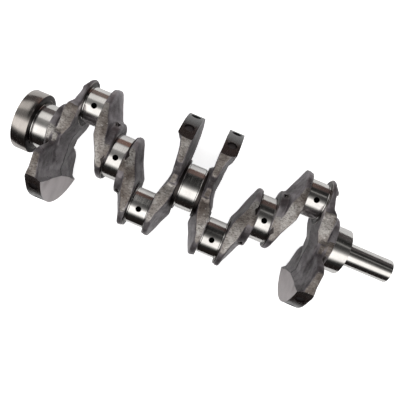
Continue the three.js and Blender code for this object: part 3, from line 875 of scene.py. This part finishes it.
def build_journals():
    for n in range(5):
        profile = journal_profile(MAIN_RADIUS, MAIN_HALF, MAIN_COLLAR_RADIUS)
        if n == 4:
            end = MAIN_HALF + 1.0
            profile = [p for p in profile if p[0] < 0]
            profile += [(end - 0.9, MAIN_RADIUS), (end - 0.3, MAIN_RADIUS - 0.25)]
            profile += [(end, MAIN_RADIUS - 0.9), (end, 0)]
        if n == 0:
            keep = [p for p in profile if p[0] >= -MAIN_HALF + 0.05]
            profile = [(-MAIN_HALF, 0), (-MAIN_HALF, MAIN_RADIUS - GROOVE_DEPTH)] + keep
        piece = lathe(f"ground_main_{n + 1}", profile)
        piece.data.materials.append(GROUND)
        darken_collars(piece, MAIN_HALF - 0.01, MAIN_COLLAR_RADIUS, 0.0 if n == 4 else 100.0)
        if n in (1, 3):
            oil_hole(piece, MAIN_RADIUS)
        sharpen(piece, 30)
        place(piece, MAIN_X[n])
        finish_piece(piece, f"main_journal_{n + 1}")
    for n in range(4):
        profile = journal_profile(PIN_RADIUS, PIN_HALF, PIN_COLLAR_RADIUS, PIN_RINGS)
        piece = lathe(f"ground_pin_{n + 1}", profile)
        piece.data.materials.append(GROUND)
        darken_collars(piece, PIN_HALF - 0.01, PIN_COLLAR_RADIUS)
        oil_hole(piece, PIN_RADIUS)
        sharpen(piece, 30)
        piece.data.transform(Matrix.Translation((0, PIN_SIDE[n] * THROW, 0)))
        place(piece, PIN_X[n])
        finish_piece(piece, f"crankpin_{n + 1}")


def countersunk(piece, x, y, z, depth, radius):
    """A blind hole from the flange's rear face, with a small chamfer at its mouth."""
    hole = rod("hole", (x - 1, y, z), (x + depth, y, z), radius)
    # The hole's wall takes the near-black painted hole shade.
    hole.data.materials.append(HOLE_SHADE)
    boolean(piece, hole)
    mouth = lathe("mouth", [(-1, 0), (-1, radius + 1.9), (0.9, radius), (0.9, 0)], 48)
    mouth.data.materials.append(FACED)
    mouth.data.transform(Matrix.Translation((x, y, z)))
    boolean(piece, mouth)


def build_flange():
    radius = FLANGE_RADIUS
    profile = [
        (FLANGE_REAR + PILOT_SEAT_DEPTH, 0), (FLANGE_REAR + PILOT_SEAT_DEPTH, PILOT_SEAT_RADIUS),
        (FLANGE_REAR + 1.0, PILOT_SEAT_RADIUS), (FLANGE_REAR, PILOT_SEAT_RADIUS + 0.95),
        (FLANGE_REAR, radius - 1.25), (FLANGE_REAR + 0.25, radius - 0.5), (FLANGE_REAR + 1.25, radius),
        (FLANGE_FRONT - 1.25, radius), (FLANGE_FRONT - 0.25, radius - 0.5), (FLANGE_FRONT, radius - 1.25),
        (FLANGE_FRONT, 33.5), (FLANGE_FRONT - 0.6, 33.0), (FLANGE_FRONT - 0.6, 0),
    ]
    piece = lathe("seal_flange", profile, 192)
    piece.data.materials.append(SEAL)
    piece.data.materials.append(FACED)
    for polygon_ in piece.data.polygons:
        if polygon_.normal.x > 0.9:
            polygon_.material_index = 1
    circle = FLANGE_BOLT_CIRCLE_RADIUS
    for i in range(FLANGE_BOLT_COUNT):
        a = 2 * math.pi * i / FLANGE_BOLT_COUNT
        y, z = circle * math.cos(a), circle * math.sin(a)
        countersunk(piece, FLANGE_REAR, y, z, FLANGE_BOLT_DEPTH, FLANGE_BOLT_RADIUS)
    a = math.pi / FLANGE_BOLT_COUNT
    y, z = circle * math.cos(a), circle * math.sin(a)
    countersunk(piece, FLANGE_REAR, y, z, DOWEL_SEAT_DEPTH, DOWEL_SEAT_RADIUS)
    sharpen(piece, 30)
    place(piece, 0)
    finish_piece(piece, "rear_flange")


def keyway():
    """The slot for the key, on the -Z side, with the round ends that its cutter leaves."""
    half, radius = KEYWAY_LENGTH / 2, KEYWAY_WIDTH / 2
    outline = []
    for end, start in ((1, -math.pi / 2), (-1, math.pi / 2)):
        for i in range(17):
            a = start + math.pi * i / 16
            x = KEYWAY_MIDDLE + end * (half - radius) + radius * math.cos(a)
            outline.append((x, radius * math.sin(a)))
    low, high = -NOSE_RADIUS - 3, -NOSE_RADIUS + KEYWAY_DEPTH + 0.3
    points = [(x, y, low) for x, y in outline] + [(x, y, high) for x, y in outline]
    n = len(outline)
    faces = [tuple(reversed(range(n))), tuple(range(n, 2 * n))]
    faces += [(i, (i + 1) % n, n + (i + 1) % n, n + i) for i in range(n)]
    slot = mesh_object("slot", points, faces, smooth=False)
    slot.data.materials.append(FACED)
    return slot


def build_nose():
    profile = [
        (NOSE_START, 0), (NOSE_START, NOSE_RADIUS - 0.3), (NOSE_START + 2.4, NOSE_RADIUS - 0.3),
        (NOSE_START + 2.6, NOSE_RADIUS), (NOSE_END - 1.5, NOSE_RADIUS), (NOSE_END - 0.5, NOSE_RADIUS - 0.45),
        (NOSE_END, NOSE_RADIUS - 1.5), (NOSE_END, 7.2), (NOSE_END - 1.0, 6.2),
        (NOSE_END - NOSE_BOLT_DEPTH, 6.0), (NOSE_END - NOSE_BOLT_DEPTH - 2, 0),
    ]
    piece = lathe("ground_nose", profile, 144)
    piece.data.materials.append(GROUND)
    boolean(piece, keyway())
    sharpen(piece, 30)
    place(piece, 0)
    finish_piece(piece, "front_nose")


# ---- light, floor and camera -------------------------------------------------------------------

def build_studio():
    scene = bpy.context.scene
    scene.view_settings.view_transform = "Standard"
    floor_z = CAD_BOX[0].z - 0.0005
    points = [(-6, -6, floor_z), (6, -6, floor_z), (6, 6, floor_z), (-6, 6, floor_z)]
    floor = mesh_object("studio_floor", points, [(0, 1, 2, 3)], smooth=False)
    look = Look("floor_paint")
    cloud = look.noise(look.position((1, 1, 1)), 3.0, 2.0)
    colour = look.ramp(cloud, [(0.0, (0.93, 0.93, 0.93)), (1.0, (0.96, 0.96, 0.96))])
    floor.data.materials.append(look.surface(color=colour, roughness=0.9, specular=0.1))
    look.bsdf.inputs["Emission Color"].default_value = (1, 1, 1, 1)
    seen = look.node("ShaderNodeLightPath").outputs["Is Camera Ray"]
    look.tree.links.new(look.span(seen, 0.0, 0.75), look.bsdf.inputs["Emission Strength"])

    world = bpy.data.worlds.new("studio")
    scene.world = world
    world.use_nodes = True
    tree = world.node_tree
    tree.nodes.clear()
    new, link = tree.nodes.new, tree.links.new
    split = new("ShaderNodeSeparateXYZ")
    link(new("ShaderNodeTexCoord").outputs["Generated"], split.inputs[0])
    angle = new("ShaderNodeMath")
    angle.operation = "ARCTAN2"
    link(split.outputs["Y"], angle.inputs[0])
    link(split.outputs["Z"], angle.inputs[1])
    share = new("ShaderNodeMapRange")
    link(angle.outputs[0], share.inputs["Value"])
    share.inputs["From Min"].default_value = -math.pi
    share.inputs["From Max"].default_value = math.pi

    def ramp(stops):
        """Brightness against degrees from straight up towards +Y."""
        node = new("ShaderNodeValToRGB")
        link(share.outputs[0], node.inputs[0])
        elements = node.color_ramp.elements
        while len(elements) < len(stops):
            elements.new(0.5)
        for element, (degrees, level) in zip(elements, stops):
            element.position = (degrees + 180) / 360
            element.color = (level, level * 0.985, level * 0.965, 1)
        return node.outputs[0]

    def between(value, low, high):
        node = new("ShaderNodeMapRange")
        node.interpolation_type = "SMOOTHSTEP"
        link(value, node.inputs["Value"])
        node.inputs["From Min"].default_value = low
        node.inputs["From Max"].default_value = high
        return node.outputs[0]

    def mixed(fac, a, b):
        node = new("ShaderNodeMix")
        node.data_type = "RGBA"
        link(fac, node.inputs[0])
        link(a, node.inputs[6])
        link(b, node.inputs[7])
        return node.outputs[2]

    low = [(-180, 0.6), (-100, 0.25), (-94, 0.012), (-64, 0.012), (-56, 0.10), (-49, 0.45), (-43, 0.95),
           (-36, 1.0), (-10, 1.0), (-3, 0.42), (4, 0.20), (12, 0.075), (20, 0.035)]
    high = [(60, 0.012), (72, 0.05), (80, 0.10), (94, 0.11), (110, 0.4), (180, 0.6)]
    centre = ramp(low + [(34, 0.02), (46, 0.012)] + high)
    bright = [(12, 0.16), (30, 0.22), (36, 0.62), (52, 0.66), (64, 0.6), (72, 0.2), (80, 0.1)]
    left = ramp(low[:-2] + bright + high[3:])
    right = ramp(low + [(34, 0.04), (37, 0.22), (41, 0.22), (44, 0.03)] + high)
    level = mixed(between(split.outputs["X"], -0.19, -0.12), left, centre)
    level = mixed(between(split.outputs["X"], 0.05, 0.12), level, right)
    background = new("ShaderNodeBackground")
    background.inputs["Strength"].default_value = 1.55
    link(level, background.inputs["Color"])
    height = new("ShaderNodeMapRange")
    link(split.outputs["Z"], height.inputs["Value"])
    height.inputs["From Min"].default_value = 0.0
    height.inputs["To Min"].default_value = 0.22
    height.inputs["To Max"].default_value = 1.5
    dome = new("ShaderNodeBackground")
    link(height.outputs[0], dome.inputs["Strength"])
    path = new("ShaderNodeLightPath")
    soft = new("ShaderNodeMixShader")
    link(path.outputs["Is Diffuse Ray"], soft.inputs[0])
    link(background.outputs[0], soft.inputs[1])
    link(dome.outputs[0], soft.inputs[2])
    plain = new("ShaderNodeBackground")
    mixer = new("ShaderNodeMixShader")
    link(path.outputs["Is Camera Ray"], mixer.inputs[0])
    link(soft.outputs[0], mixer.inputs[1])
    plain.inputs["Color"].default_value = (1, 1, 1, 1)
    link(plain.outputs[0], mixer.inputs[2])
    output = new("ShaderNodeOutputWorld")
    link(mixer.outputs[0], output.inputs["Surface"])

    card("dark_card", -0.21, floor_z, 0.06, [(0.0, (0.02, 0.016, 0.015)), (1.0, (0.02, 0.016, 0.015))])
    card("brown_card", 0.33, -0.06, 0.12, [
        (0.10, (0.14, 0.125, 0.125)), (0.17, (0.17, 0.15, 0.15)), (0.26, (0.26, 0.20, 0.18)),
        (0.34, (0.28, 0.165, 0.135)), (0.40, (0.10, 0.075, 0.07)), (0.50, (0.26, 0.175, 0.155)),
        (0.57, (0.06, 0.045, 0.045)), (0.66, (0.19, 0.13, 0.115)), (0.72, (0.07, 0.055, 0.055)),
        (0.85, (0.11, 0.10, 0.10)),
    ])


def card(name, y, low, high, tones):
    """A long card beside the shaft, there for its reflection in the ground surfaces.

    The tones run along the shaft, from x = -0.5 m to 0.5 m.
    """
    points = [(-0.9, y, low), (0.9, y, low), (0.9, y, high), (-0.9, y, high)]
    obj = mesh_object(name, points, [(0, 1, 2, 3)], smooth=False)
    look = Look(name)
    along = look.node("ShaderNodeSeparateXYZ", {"Vector": look.position((1, 1, 1), (0.5, 0, 0))}).outputs["X"]
    cloud = look.noise(look.position((1, 1, 1)), 4.0, 2.0)
    light = look.mix(look.span(cloud, 0.0, 0.2), look.ramp(along, tones), (0.0, 0.0, 0.0))
    emission = look.node("ShaderNodeEmission", {"Color": light})
    out = look.tree.nodes["Material Output"]
    look.tree.links.new(emission.outputs[0], out.inputs["Surface"])
    obj.data.materials.append(look.material)
    obj.visible_camera = False
    obj.visible_diffuse = False
    obj.visible_shadow = False


def build_camera():
    data = bpy.data.cameras.new("camera")
    data.sensor_width = 36
    data.lens = 42.0
    data.clip_start = 0.01
    camera = bpy.data.objects.new("camera", data)
    bpy.context.scene.collection.objects.link(camera)
    right = Vector((0.92048, 0.38917, -0.03556))
    up = Vector((-0.39076, 0.91761, -0.07279))
    back = Vector((0.00431, 0.08090, 0.99671))
    eye = Vector((-0.00335, 0.03939, 0.6056))
    camera.matrix_world = Matrix((
        (right.x, up.x, back.x, eye.x),
        (right.y, up.y, back.y, eye.y),
        (right.z, up.z, back.z, eye.z),
        (0, 0, 0, 1),
    ))
    bpy.context.scene.camera = camera


build_camera()
build_webs()
build_journals()
build_flange()
build_nose()
for node, material in (("pilot_bush", BRONZE), ("flywheel_dowel", DOWEL), ("nose_key", KEY)):
    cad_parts[node].data.materials.clear()
    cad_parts[node].data.materials.append(material)
build_studio()
